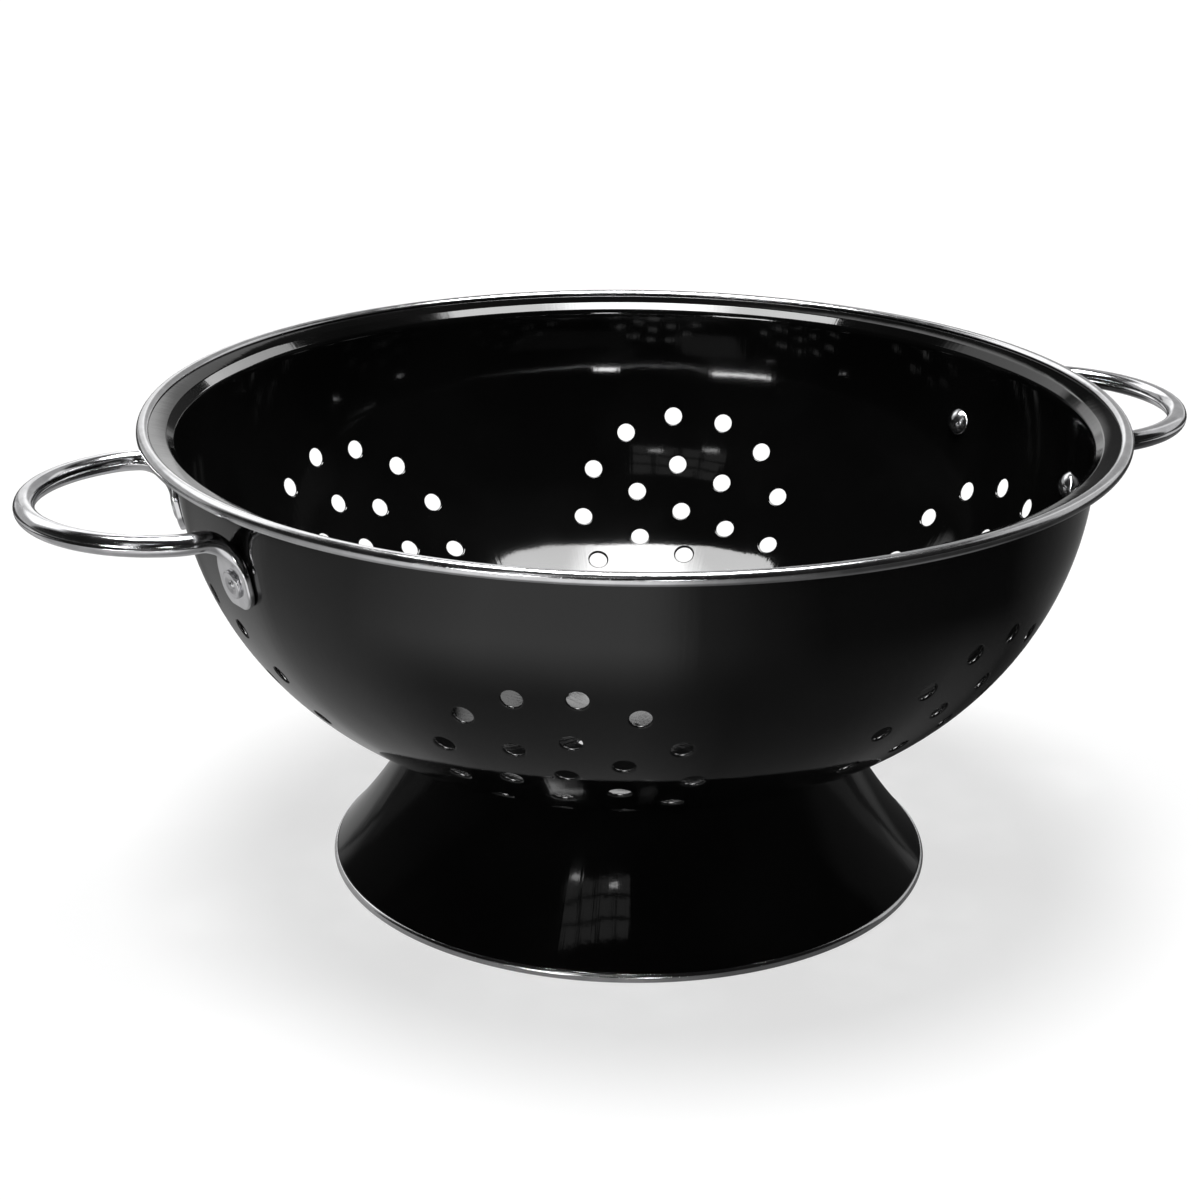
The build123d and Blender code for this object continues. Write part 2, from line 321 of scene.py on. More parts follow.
def add_sector(skin, sector):
    """One sixth of the round wall, with its cluster of holes, on both faces of the sheet."""
    half_width = pi / CLUSTER_COUNT
    middle_bearing = 2 * pi * sector / CLUSTER_COUNT
    holes = wall_holes(sector)
    points, params, keys = [], [], []

    def add(bearing, drop, key):
        points.append((bearing * MOUTH_RADIUS, (pi / 2 - drop) * BELLY_RADIUS))
        params.append((bearing, drop))
        keys.append(key)
        return len(points) - 1

    def distance(bearing, drop, hole):
        return hypot((bearing - hole[0]) * wall_radius(drop), (drop - hole[1]) * BELLY_RADIUS)

    outline = {}
    for row in range(WALL_ROWS + 1):
        drop = pi / 2 * (1 - row / WALL_ROWS)
        for column in range(SECTOR_COLUMNS + 1):
            bearing = half_width * (2 * column / SECTOR_COLUMNS - 1)
            edge = row in (0, WALL_ROWS) or column in (0, SECTOR_COLUMNS)
            clear = all(distance(bearing, drop, h) > h[2] + WALL_CLEAR for h in holes)
            if edge or clear:
                number = (sector * SECTOR_COLUMNS + column) % RING_SEGMENTS
                outline[(column, row)] = add(bearing, drop, ("wall", number, row))
    loops = []
    for number, (hole_bearing, hole_drop, hole_radius) in enumerate(holes):
        for extra, ring_name in ((HOLE_ROUND, "edge"), (WALL_GUARD, "guard")):
            loop = []
            for step, (across, up) in enumerate(circle_steps(hole_radius + extra)):
                drop = hole_drop - up / BELLY_RADIUS
                key = (("hole", sector, number), step, ring_name)
                loop.append(add(hole_bearing + across / wall_radius(drop), drop, key))
            loops.append(loop)
    border = [(column, 0) for column in range(SECTOR_COLUMNS)]
    border += [(SECTOR_COLUMNS, row) for row in range(WALL_ROWS)]
    border += [(column, WALL_ROWS) for column in range(SECTOR_COLUMNS, 0, -1)]
    border += [(0, row) for row in range(WALL_ROWS, 0, -1)]
    loops.append([outline[place] for place in border])

    def inside_hole(hole):
        def inside(place):
            bearing = place.x / MOUTH_RADIUS
            drop = pi / 2 - place.y / BELLY_RADIUS
            return distance(bearing, drop, hole) < hole[2] + HOLE_CUT
        return inside

    def surface(number, depth):
        bearing, drop = params[number]
        bearing += middle_bearing
        return wall_place(bearing, drop, depth), wall_normal(bearing, drop)

    add_sheet(skin, points, keys, loops, [inside_hole(hole) for hole in holes], surface)
    for number, (hole_bearing, hole_drop, _) in enumerate(holes):
        centre = wall_place(middle_bearing + hole_bearing, hole_drop, WALL / 2)
        add_hole_edge(skin, ("hole", sector, number), centre)


def add_floor(skin):
    """Flat floor of the bowl with its cluster of holes."""
    border = range(RING_SEGMENTS)
    bearings = [column_bearing(column) for column in border]
    points = [(FLOOR_RADIUS * cos(turn), FLOOR_RADIUS * sin(turn)) for turn in bearings]
    keys = [("wall", column, 0) for column in border]
    loops = [border]
    outermost = FLOOR_RADIUS - FLOOR_GUARD_MARGIN
    places = cluster_places()
    for number, (across, up) in enumerate(places):
        for extra, ring_name in ((HOLE_ROUND, "edge"), (FLOOR_GUARD, "guard")):
            loop = []
            for step, (x, y) in enumerate(circle_steps(HOLE_RADIUS + extra)):
                place = (across + x, up + y)
                if ring_name == "guard" and hypot(*place) > outermost:
                    continue
                points.append(place)
                keys.append((("floor", number), step, ring_name))
                loop.append(len(points) - 1)
            if ring_name == "edge":
                loops.append(loop)
    count = int(FLOOR_RADIUS / FLOOR_GRID) + 1
    for i in range(-count, count + 1):
        for j in range(-count, count + 1):
            place = ((i + (j % 2) / 2) * FLOOR_GRID, j * FLOOR_GRID * sqrt(3) / 2)
            away = min(hypot(place[0] - x, place[1] - y) for x, y in places)
            within = hypot(*place) < FLOOR_RADIUS - FLOOR_MARGIN
            if away > HOLE_RADIUS + FLOOR_CLEAR and within:
                points.append(place)
                keys.append(("floor", i, j))

    def inside_hole(x, y):
        return lambda p: hypot(p.x - x, p.y - y) < HOLE_RADIUS + HOLE_CUT

    def surface(number, depth):
        return (*points[number], FLOOR_UNDERSIDE + depth), Vector((0, 0, -1))

    holes = [inside_hole(x, y) for x, y in places]
    add_sheet(skin, points, keys, loops, holes, surface, mirrored=True)
    for number, (across, up) in enumerate(places):
        centre = Vector((across, up, FLOOR_UNDERSIDE + WALL / 2))
        add_hole_edge(skin, ("floor", number), centre, mirrored=True)


def lip_profile(side):
    """Points of the mouth and the lip above the round wall: radius, level and normal."""
    facing, depth = (1, WALL) if side == "outer" else (-1, 0.0)
    radius = MOUTH_RADIUS - WALL
    level = BELLY_LEVEL
    profile = []

    def add(turn):
        out, up = -cos(turn), sin(turn)
        profile.append((radius - depth * out, level - depth * up, -facing * out, -facing * up))

    # The bevel's length and the last curve's radius make the legs end at the trim.
    flare, bevel, brim, edge = (radians(angle) for angle in LIP_TURNS)
    out_left = (LIP_CURVE_END - radius - LIP_FLARE_RADIUS * (1 - cos(flare))
                - LIP_BEND_RADIUS * (cos(flare) - cos(brim)))
    up_left = (LIP_UNDERSIDE + WALL - level - LIP_FLARE_RADIUS * sin(flare)
               - LIP_BEND_RADIUS * (sin(brim) - sin(flare)))
    slope = 1 / tan((brim + edge) / 2)
    run = (up_left - out_left * slope) / (cos(bevel) - sin(bevel) * slope)
    curve = (out_left - run * sin(bevel)) / (cos(brim) - cos(edge))
    radii = (LIP_FLARE_RADIUS, LIP_BEND_RADIUS, None, LIP_BEND_RADIUS, curve)
    turns = (0.0, flare, bevel, bevel, brim, edge)
    for leg_radius, start, end, steps in zip(radii, turns, turns[1:], LIP_LEG_STEPS):
        for step in range(1, steps + 1):
            turn = start + (end - start) * step / steps
            if leg_radius is None:
                radius += run / steps * sin(turn)
                level += run / steps * cos(turn)
            else:
                before = turn - (end - start) / steps
                radius += leg_radius * (cos(before) - cos(turn))
                level += leg_radius * (sin(turn) - sin(before))
            add(turn)
    radius = RIM_TRIM_RADIUS
    add(pi / 2)
    return profile


def add_mouth(skin):
    """Flared mouth and outward lip, up to inside the rim trim: more rows of the wall."""
    for side in ("outer", "inner"):
        profile = lip_profile(side)
        last = WALL_ROWS + len(profile)
        for column in range(RING_SEGMENTS):
            bearing = column_bearing(column)
            for row, (radius, level, out, up) in enumerate(profile, start=WALL_ROWS + 1):
                key = ("wall", column, row, side)
                skin.vertex(key, polar(radius, bearing, level), polar(out, bearing, up))
        for column in range(RING_SEGMENTS):
            for row in range(WALL_ROWS, last):
                corners = [skin.index[("wall", *place, side)]
                           for place in cell(column, row, RING_SEGMENTS)]
                skin.face(corners if side == "outer" else corners[::-1])
    for column in range(RING_SEGMENTS):
        following = (column + 1) % RING_SEGMENTS
        skin.face(skin.index[("wall", c, last, side)] for c, side in (
            (column, "outer"), (following, "outer"), (following, "inner"), (column, "inner")))


def make_bowl():
    skin = Skin()
    for sector in range(CLUSTER_COUNT):
        add_sector(skin, sector)
    add_floor(skin)
    add_mouth(skin)
    return skin.build("bowl_shell")


def revolved(name, profile, segments, closed=True, axis=None, own_normals=True):
    """Skin of revolution about Z, or about a matrix's Z, from (radius, level, out, up)."""
    skin = Skin()
    count = len(profile)
    for column in range(segments):
        bearing = 2 * pi * column / segments
        for number, (radius, level, out, up) in enumerate(profile):
            key = ("pole", number) if radius == 0 else (column, number)
            skin.vertex(key, polar(radius, bearing, level), polar(out, bearing, up))

    def at(column, number):
        number %= count
        pole = profile[number][0] == 0
        return skin.index[("pole", number) if pole else (column, number)]

    for column in range(segments):
        for number in range(count if closed else count - 1):
            corners = [at(*place) for place in cell(column, number, segments)]
            kept = [c for i, c in enumerate(corners) if c not in corners[:i]]
            if len(kept) > 2:
                skin.face(kept)
    if axis is not None:
        turn = axis.to_3x3()
        skin.places = [axis @ place for place in skin.places]
        skin.normals = [turn @ normal for normal in skin.normals]
    return skin.build(name, own_normals)


def arc(centre, radius, start, end, steps, facing=1):
    """Profile points round a centre (radius, level) between two angles in radians."""
    turns = [start + (end - start) * step / steps for step in range(steps + 1)]
    return [(centre[0] + radius * cos(turn), centre[1] + radius * sin(turn),
             facing * cos(turn), facing * sin(turn)) for turn in turns]


def trim_profile(centre, tube, mouth_angle, flat_level=None):
    """Rolled strip: an open tube whose two edges curl in to the sheet it grips. The angle
    points from the tube's middle to its mouth."""
    middle = tube - TRIM_GAUGE / 2
    edge = TRIM_GAUGE / 2
    half_mouth = asin((WALL / 2 + TRIM_GAP + edge) / middle)
    start = mouth_angle + half_mouth
    end = mouth_angle + 2 * pi - half_mouth

    def tip(turn, begin):
        place = (centre[0] + middle * cos(turn), centre[1] + middle * sin(turn))
        return arc(place, edge, begin, begin + pi, TRIM_TIP_STEPS)[1:-1]

    points = arc(centre, tube, start, end, TRIM_OUTSIDE_STEPS)
    points += tip(end, end)
    points += arc(centre, tube - TRIM_GAUGE, end, start, TRIM_INSIDE_STEPS, facing=-1)
    points += tip(start, start + pi)
    if flat_level is None:
        return points
    return [(r, flat_level, 0.0, -1.0) if z < flat_level else (r, z, out, up)
            for r, z, out, up in points]


def make_rim_band():
    centre = (RIM_TRIM_RADIUS, RIM_TRIM_LEVEL)
    profile = trim_profile(centre, RIM_TRIM_DIAMETER / 2, pi)
    return revolved("rim_band", profile, RIM_SEGMENTS)


def make_foot_band():
    centre = (FOOT_TRIM_RADIUS, FOOT_TRIM_LEVEL)
    profile = trim_profile(centre, FOOT_TRIM_TUBE, pi / 2, flat_level=0.0)
    return revolved("foot_band", profile, FOOT_TRIM_SEGMENTS)


def circle_centre(first, second, radius):
    """Centre, on the far side from the axis, of the arc through two profile points."""
    chord = second - first
    away = Vector((chord.y, -chord.x)).normalized()
    return (first + second) / 2 + away * sqrt(radius**2 - (chord.length / 2) ** 2)


def crossing(centre_a, radius_a, centre_b, radius_b, near):
    """Crossing of two circles nearest to a point."""
    line = centre_b - centre_a
    reach = (radius_a**2 - radius_b**2 + line.length_squared) / (2 * line.length)
    rise = sqrt(radius_a**2 - reach**2)
    along = line.normalized()
    square = Vector((-along.y, along.x))
    ends = [centre_a + along * reach + square * rise * side for side in (-1, 1)]
    return min(ends, key=lambda end: (end - near).length)


def turn_of(line):
    return atan2(line.y, line.x) % (2 * pi)


def make_foot():
    toe = Vector((FOOT_TRIM_RADIUS + WALL / 2, FOOT_TRIM_LEVEL + FOOT_TRIM_TUBE))
    neck_level = BELLY_LEVEL - sqrt(BELLY_RADIUS**2 - (FOOT_NECK_RADIUS - FLOOR_RADIUS) ** 2)
    neck = Vector((FOOT_NECK_RADIUS, neck_level))
    flare = circle_centre(toe, neck + Vector((0, WALL)), FOOT_FLARE_RADIUS)
    belly = Vector((FLOOR_RADIUS, BELLY_LEVEL))
    bead = crossing(flare, FOOT_FLARE_RADIUS - FOOT_BEAD_RADIUS,
                    belly, BELLY_RADIUS + FOOT_BEAD_RADIUS, neck)
    toe_turn, bead_turn, belly_turn = (
        turn_of(line) for line in (toe - flare, bead - flare, belly - bead))
    outer = [(toe.x, FOOT_TRIM_LEVEL, 1.0, 0.0)]
    outer += arc(flare, FOOT_FLARE_RADIUS, toe_turn, bead_turn, FOOT_FLARE_STEPS, facing=-1)
    outer += arc(bead, FOOT_BEAD_RADIUS, bead_turn, belly_turn, FOOT_BEAD_STEPS, facing=-1)[1:]
    inner_top = crossing(flare, FOOT_FLARE_RADIUS + WALL,
                         belly, BELLY_RADIUS - FOOT_SUNK_IN_BOWL, neck)
    inner = arc(flare, FOOT_FLARE_RADIUS + WALL, turn_of(inner_top - flare), toe_turn,
                FOOT_FLARE_STEPS)
    inner.append((toe.x - WALL, FOOT_TRIM_LEVEL, -1.0, 0.0))
    return revolved("foot_shell", outer + inner, RING_SEGMENTS)


def wall_seat(bearing, drop):
    """Matrix of a seat on the wall: x along the wall, y up it, z out of the bowl."""
    along = polar(1, bearing + pi / 2, 0)
    outward = wall_normal(bearing, drop)
    up = outward.cross(along)
    matrix = Matrix((along, up, outward)).transposed().to_4x4()
    matrix.translation = wall_place(bearing, drop, 0)
    return matrix


def make_rivet(name, bearing):
    """Domed head inside, shank, and outside a low disc with a nub in its dish."""
    inner = -WALL - RIVET_SEAT_GAP
    rise = RIVET_DOME_HEIGHT / RIVET_HEAD_RADIUS
    dome_radius = RIVET_HEAD_RADIUS * (1 + rise**2) / (2 * rise)
    dome_centre = (0.0, inner - RIVET_DOME_HEIGHT + dome_radius)
    edge_turn = asin(RIVET_HEAD_RADIUS / dome_radius)
    dome = arc(dome_centre, dome_radius, -pi / 2, -pi / 2 + edge_turn, RIVET_DOME_STEPS)
    round_centre = (RIVET_HEAD_RADIUS - RIVET_DISC_ROUND,
                    PAD_THICKNESS + RIVET_DISC_HEIGHT - RIVET_DISC_ROUND)
    disc_edge = arc(round_centre, RIVET_DISC_ROUND, 0, pi / 2, RIVET_ROUND_STEPS)
    points = [(0.0, inner - RIVET_DOME_HEIGHT)]
    points += [point[:2] for point in dome[1:]]
    points += [(RIVET_HEAD_RADIUS, inner), (RIVET_SHANK_RADIUS, inner),
               (RIVET_SHANK_RADIUS, PAD_THICKNESS), (RIVET_HEAD_RADIUS, PAD_THICKNESS)]
    points += [point[:2] for point in disc_edge]
    points += [(radius * RIVET_NUB_RADIUS, PAD_THICKNESS + level * RIVET_DISC_HEIGHT)
               for radius, level in RIVET_DISH_SHARES]
    dish = points[-1][1]
    for step in range(1, RIVET_NUB_STEPS):
        turn = pi / 2 * step / RIVET_NUB_STEPS
        points.append((RIVET_NUB_RADIUS * RIVET_NUB_TAPER_SHARE * cos(turn),
                       dish + RIVET_NUB_HEIGHT * sin(turn)))
    points.append((0.0, dish + RIVET_NUB_HEIGHT))
    profile = [(radius, level, 0.0, 1.0) for radius, level in points]
    return revolved(name, profile, RIVET_SEGMENTS, closed=False,
                    axis=wall_seat(bearing, RIVET_DROP), own_normals=False)


def rounded_section(half_width, half_height, corner):
    """Points of a rounded box, counter-clockwise: across and out."""
    corner = min(corner, half_width, half_height)
    points = []
    for quarter, (side_x, side_y) in enumerate(((1, 1), (-1, 1), (-1, -1), (1, -1))):
        cx, cy = side_x * (half_width - corner), side_y * (half_height - corner)
        for step in range(WIRE_CORNER_STEPS + 1):
            turn = pi / 2 * (quarter + step / WIRE_CORNER_STEPS)
            points.append((cx + corner * cos(turn), cy + corner * sin(turn)))
        if quarter in (0, 2):
            for step in range(1, WIRE_FLAT_STEPS):
                share = 1 - 2 * step / WIRE_FLAT_STEPS
                points.append((cx * share, side_y * half_height))
    return points


def smooth_step(value):
    value = min(max(value, 0.0), 1.0)
    return value * value * (3 - 2 * value)


def half_handle_stations():
    """Stations along the rear half of the right handle, from the pad's tail to the tip of the
    loop: middle, its directions across and out, and the section's half width, half thickness
    and corner radius."""
    loop_radius = RIVET_SPACING / 2 + LOOP_SWELL
    loop_centre = HANDLE_TIP - WIRE_RADIUS - loop_radius
    offset = loop_radius - SHOULDER_RADIUS
    sweep = RIVET_BEARING + asin((sin(RIVET_BEARING) * loop_centre - SHOULDER_RADIUS) / offset)
    bend_start = loop_centre * cos(RIVET_BEARING) + offset * cos(sweep - RIVET_BEARING)
    bend_radius = ((bend_start - RIVET_WALL_RADIUS) * cos(RIVET_DROP)
                   - (HANDLE_LEVEL - RIVET_LEVEL) * sin(RIVET_DROP)
                   - PAD_THICKNESS / 2) / (1 - sin(RIVET_DROP))
    bend_turn = pi / 2 - RIVET_DROP
    radial = polar(1, RIVET_BEARING, 0)
    seat = wall_seat(RIVET_BEARING, RIVET_DROP)
    across, up, out = (column.xyz for column in seat.col[:3])
    pad_middle = seat.translation + out * PAD_THICKNESS / 2

    def bend_place(turn):
        place = radial * (bend_start - bend_radius * sin(turn))
        place.z = HANDLE_LEVEL - bend_radius * (1 - cos(turn))
        return place

    pad_top = (bend_place(bend_turn) - pad_middle).dot(up)
    nadir = Vector((0, 0, -1))
    stations = []

    def add(*station):
        stations.append([*station])

    for step in range(TAIL_STEPS + 1):
        share = 1 - cos(pi / 2 * step / TAIL_STEPS)
        climb = PAD_TAIL_CORNER * share
        width = PAD_WIDTH / 2 - PAD_TAIL_CORNER + sqrt(
            max(PAD_TAIL_CORNER**2 - (PAD_TAIL_CORNER - climb) ** 2, 0.0))
        rounding = min(climb / PAD_EDGE_ROUND, 1.0)
        thickness = PAD_THICKNESS / 2 - PAD_EDGE_ROUND * (1 - sqrt(1 - (1 - rounding) ** 2))
        add(pad_middle + up * (climb - PAD_TAIL), across, out,
            (width, thickness, PAD_EDGE_ROUND))
    climb_start = PAD_TAIL_CORNER - PAD_TAIL
    for step in range(1, PAD_STEPS + 1):
        climb = climb_start + (pad_top - climb_start) * step / PAD_STEPS
        add(pad_middle + up * climb, across, out)
    for step in range(1, BEND_STEPS + 1):
        turn = bend_turn * (1 - step / BEND_STEPS)
        add(bend_place(turn), across, radial * sin(turn) + nadir * cos(turn))
    loop_middle = Vector((loop_centre, 0, HANDLE_LEVEL))
    shoulder = loop_middle + polar(offset, sweep, 0)
    for middle, radius, start, end, steps in (
            (shoulder, SHOULDER_RADIUS, pi / 2 + RIVET_BEARING, sweep, SHOULDER_STEPS),
            (loop_middle, loop_radius, sweep, 0.0, LOOP_STEPS)):
        for step in range(1, steps + 1):
            turn = end + (start - end) * (1 - step / steps)
            add(middle + polar(radius, turn, 0), polar(1, turn, 0), nadir)
    # The wire's round section flows into the flat pad over the bend.
    lengths = [0.0]
    for first, second in zip(stations, stations[1:]):
        lengths.append(lengths[-1] + (second[0] - first[0]).length)
    flat_until = lengths[TAIL_STEPS] + PAD_FLAT_SHARE * (pad_top - climb_start)
    round_from = lengths[TAIL_STEPS + PAD_STEPS + BEND_STEPS] - WIRE_ROUND_SHARE * bend_radius
    for length, station in list(zip(lengths, stations))[TAIL_STEPS + 1:]:
        share = smooth_step((length - flat_until) / (round_from - flat_until))
        width = PAD_WIDTH / 2 + (WIRE_RADIUS - PAD_WIDTH / 2) * share**PAD_WIDTH_POWER
        thickness = PAD_THICKNESS / 2 + (WIRE_RADIUS - PAD_THICKNESS / 2) * share
        rounding = min(share * PAD_CORNER_RATE, 1.0)
        corner = PAD_EDGE_ROUND + (WIRE_RADIUS - PAD_EDGE_ROUND) * rounding
        station.append((width, thickness, corner))
    return stations


def make_handle(name, bearing):
    """Wire loop with its two ends pressed flat, as one skin from pad to pad."""
    rear = half_handle_stations()
    flip = Vector((1, -1, 1))
    front = [(place * flip, side * flip, normal * flip, section)
             for place, side, normal, section in rear[:-1]]
    stations = rear + front[::-1]
    skin = Skin()
    turn = Matrix.Rotation(bearing, 3, "Z")
    rings = []
    for number, (place, side, normal, section) in enumerate(stations):
        rings.append([
            skin.vertex((number, i), turn @ (place + side * across + normal * out))
            for i, (across, out) in enumerate(rounded_section(*section))])
    for ring, following in zip(rings, rings[1:]):
        for i in range(len(ring)):
            j = (i + 1) % len(ring)
            skin.face((ring[i], following[i], following[j], ring[j]))
    skin.face(rings[0])
    skin.face(rings[-1][::-1])
    return skin.build(name, own_normals=False)


bowl = make_bowl()
foot = make_foot()
rim_band = make_rim_band()
foot_band = make_foot_band()
handle_right = make_handle("handle_wire_right", 0.0)
handle_left = make_handle("handle_wire_left", pi)
rivet_pieces = {node: make_rivet(node + "_head", bearing) for node, bearing in (
    ("rivet_right_front", -RIVET_BEARING),
    ("rivet_right_rear", RIVET_BEARING),
    ("rivet_left_front", pi + RIVET_BEARING),
    ("rivet_left_rear", pi - RIVET_BEARING))}


# Materials

# Noises are given as scale, detail and roughness, with the depth of their bump.
ENAMEL_SWELL, ENAMEL_SWELL_DEPTH = (55.0, 1.0, 0.5), 0.12 * MM
ENAMEL_RUNS, ENAMEL_RUNS_DEPTH = (620.0, 2.0, 0.55), 0.016 * MM
ENAMEL_RUNS_STRETCH = (0.115, 0.03)
ENAMEL_PORES, ENAMEL_PORES_DEPTH = (600.0, 1.0, 0.6), 0.005 * MM
ENAMEL_CLOUDS = (24.0, 3.0, 0.5)
ENAMEL_SHADES = (0.0030, 0.0050)
ENAMEL_ROUGHNESS = (0.05, 0.08)
METAL_MARKS = (900.0, 2.0, 0.6)
METAL_SWELL, METAL_SWELL_RATE = (260.0, 2.0, 0.5), 2.5
METAL_CLOUDS = (180.0, 3.0, 0.6)
METAL_SHADES = (0.9, 1.04)
# Levels of a noise between which the looks change
CLOUD_LEVELS = (0.3, 0.7)
SHADE_LEVELS = (0.35, 0.65)
# Keeps a division by the distance from the axis finite
AXIS_CLEARANCE = 0.1 * MM


class Nodes:
    """Short ways to add the nodes of one material or of the world."""

    def __init__(self, tree):
        self.tree = tree
        tree.nodes.clear()

    def add(self, kind, inputs=(), **settings):
        node = self.tree.nodes.new(kind)
        for name, value in settings.items():
            setattr(node, name, value)
        for name, value in dict(inputs).items():
            self.put(node.inputs[name], value)
        return node

    def put(self, socket, value):
        if isinstance(value, bpy.types.NodeSocket):
            self.tree.links.new(value, socket)
        else:
            socket.default_value = value

    def math(self, operation, *values, clamp=False):
        node = self.add("ShaderNodeMath", operation=operation, use_clamp=clamp)
        for socket, value in zip(node.inputs, values):
            self.put(socket, value)
        return node.outputs[0]

    def plus(self, first, second):
        return self.math("ADD", first, second)

    def minus(self, first, second):
        return self.math("SUBTRACT", first, second)

    def times(self, first, second):
        return self.math("MULTIPLY", first, second)

    def over(self, first, second):
        return self.math("DIVIDE", first, second)

    def ramp(self, value, low, high, start=0.0, end=1.0):
        inputs = {"Value": value, "From Min": low, "From Max": high,
                  "To Min": start, "To Max": end}
        node = self.add("ShaderNodeMapRange", inputs, interpolation_type="SMOOTHSTEP")
        return node.outputs["Result"]

    def vector(self, x, y, z):
        return self.add("ShaderNodeCombineXYZ", {"X": x, "Y": y, "Z": z}).outputs[0]

    def split(self, vector):
        node = self.add("ShaderNodeSeparateXYZ", {"Vector": vector})
        return node.outputs["X"], node.outputs["Y"], node.outputs["Z"]

    def place(self):
        return self.add("ShaderNodeTexCoord").outputs["Object"]

    def noise(self, vector, scale, detail, roughness):
        inputs = {"Vector": vector, "Scale": scale, "Detail": detail, "Roughness": roughness}
        return self.add("ShaderNodeTexNoise", inputs).outputs["Fac"]

    def grey(self, shade):
        channels = {"Red": shade, "Green": shade, "Blue": shade}
        return self.add("ShaderNodeCombineColor", channels).outputs[0]

    def length(self, x, y):
        return self.math("SQRT", self.plus(self.times(x, x), self.times(y, y)))

    def seen_directly(self, path):
        """One for the camera's own rays, also through glass, else zero."""
        return self.math("ADD", path.outputs["Is Camera Ray"],
                         path.outputs["Is Transmission Ray"], clamp=True)

    def show(self, output, shader):
        self.put(self.add(output).inputs["Surface"], shader.outputs[0])

    def bump(self, height, distance, **base):
        inputs = {"Height": height, "Distance": distance, **base}
        return self.add("ShaderNodeBump", inputs).outputs["Normal"]

    def between(self, angle, low, high, soft):
        """One between two angles in degrees, with edges that many degrees soft, else zero."""
        low, high, soft = (radians(value) for value in (low, high, soft))
        rise = self.ramp(angle, low - soft / 2, low + soft / 2)
        fall = self.ramp(angle, high - soft / 2, high + soft / 2, 1.0, 0.0)
        return self.times(rise, fall)

    def blend(self, first, second, share):
        change = self.minus(second, first)
        return self.plus(first, self.times(change, share))

    def by_bearing(self, bearing, stops):
        """Level that runs from stop to stop, each a bearing in degrees and its level."""
        share = self.plus(self.over(bearing, 2 * pi), 0.5)
        ramp = self.add("ShaderNodeValToRGB", {"Fac": share})
        elements = ramp.color_ramp.elements
        while len(elements) < len(stops):
            elements.new(0.5)
        for element, (angle, level) in zip(elements, stops):
            element.position = angle / 360 + 0.5
            element.color = (level, level, level, 1)
        return ramp.outputs["Color"]

    def in_studio(self, vector):
        """A place or heading of the object as the photographer's: right, away and up."""
        turned = self.add("ShaderNodeVectorRotate", {"Vector": vector, "Angle": -STUDIO_TURN},
                          rotation_type="Z_AXIS")
        return self.split(turned.outputs[0])

    def round_the_axis(self, around, up):
        """Vector in which a noise keeps one size round the piece and another along Z."""
        x, y, z = self.split(self.place())
        radius = self.plus(self.length(x, y), AXIS_CLEARANCE)
        return self.vector(self.times(self.over(x, radius), around),
                           self.times(self.over(y, radius), around),
                           self.times(z, up))


def material(name):
    made = bpy.data.materials.new(name)
    made.use_nodes = True
    return made, Nodes(made.node_tree)


def surface(nodes, shader_inputs):
    shader = nodes.add("ShaderNodeBsdfPrincipled", shader_inputs)
    nodes.show("ShaderNodeOutputMaterial", shader)


def enamel_material():
    """Black enamel: glassy, with a slow swell and fine runs down the wall."""
    made, nodes = material("enamel")
    runs = nodes.noise(nodes.round_the_axis(*ENAMEL_RUNS_STRETCH), *ENAMEL_RUNS)
    pores = nodes.noise(nodes.place(), *ENAMEL_PORES)
    swell = nodes.noise(nodes.place(), *ENAMEL_SWELL)
    normal = nodes.bump(swell, ENAMEL_SWELL_DEPTH)
    normal = nodes.bump(runs, ENAMEL_RUNS_DEPTH, Normal=normal)
    normal = nodes.bump(pores, ENAMEL_PORES_DEPTH, Normal=normal)
    clouds = nodes.noise(nodes.place(), *ENAMEL_CLOUDS)
    surface(nodes, {
        "Base Color": nodes.grey(nodes.ramp(clouds, *SHADE_LEVELS, *ENAMEL_SHADES)),
        "Roughness": nodes.ramp(clouds, *CLOUD_LEVELS, *ENAMEL_ROUGHNESS),
        "IOR": 1.5,
        "Specular IOR Level": 0.42,
        "Normal": normal,
    })
    return made


def metal_material(name, color, roughness, spread, stretch, depth):
    """Bright metal: color, roughness and how far it varies, and how its fine marks are drawn out
    round the axis and up, and their depth."""
    made, nodes = material(name)
    marks = nodes.noise(nodes.round_the_axis(*stretch), *METAL_MARKS)
    swell = nodes.noise(nodes.place(), *METAL_SWELL)
    normal = nodes.bump(swell, METAL_SWELL_RATE * depth)
    normal = nodes.bump(marks, depth, Normal=normal)
    clouds = nodes.noise(nodes.place(), *METAL_CLOUDS)
    mix = nodes.add("ShaderNodeMix", {"Factor": nodes.ramp(clouds, *CLOUD_LEVELS)},
                    data_type="RGBA")
    # Sockets 6 and 7 are the mix node's two colors, and output 2 is its color.
    for socket, rate in zip((6, 7), METAL_SHADES):
        mix.inputs[socket].default_value = (*(channel * rate for channel in color), 1)
    surface(nodes, {
        "Base Color": mix.outputs[2],
        "Metallic": 1.0,
        "Roughness": nodes.ramp(clouds, *CLOUD_LEVELS, roughness, roughness + spread),
        "Normal": normal,
    })
    return made


enamel = enamel_material()
stainless = metal_material("stainless_strip", (0.66, 0.66, 0.67), 0.15, 0.05,
                           (0.02, 0.11), 0.004 * MM)
chrome = metal_material("chrome_wire", (0.72, 0.72, 0.735), 0.12, 0.04,
                        (0.05, 0.05), 0.003 * MM)
plated = metal_material("plated_rivet", (0.70, 0.70, 0.715), 0.17, 0.06,
                        (0.05, 0.05), 0.003 * MM)

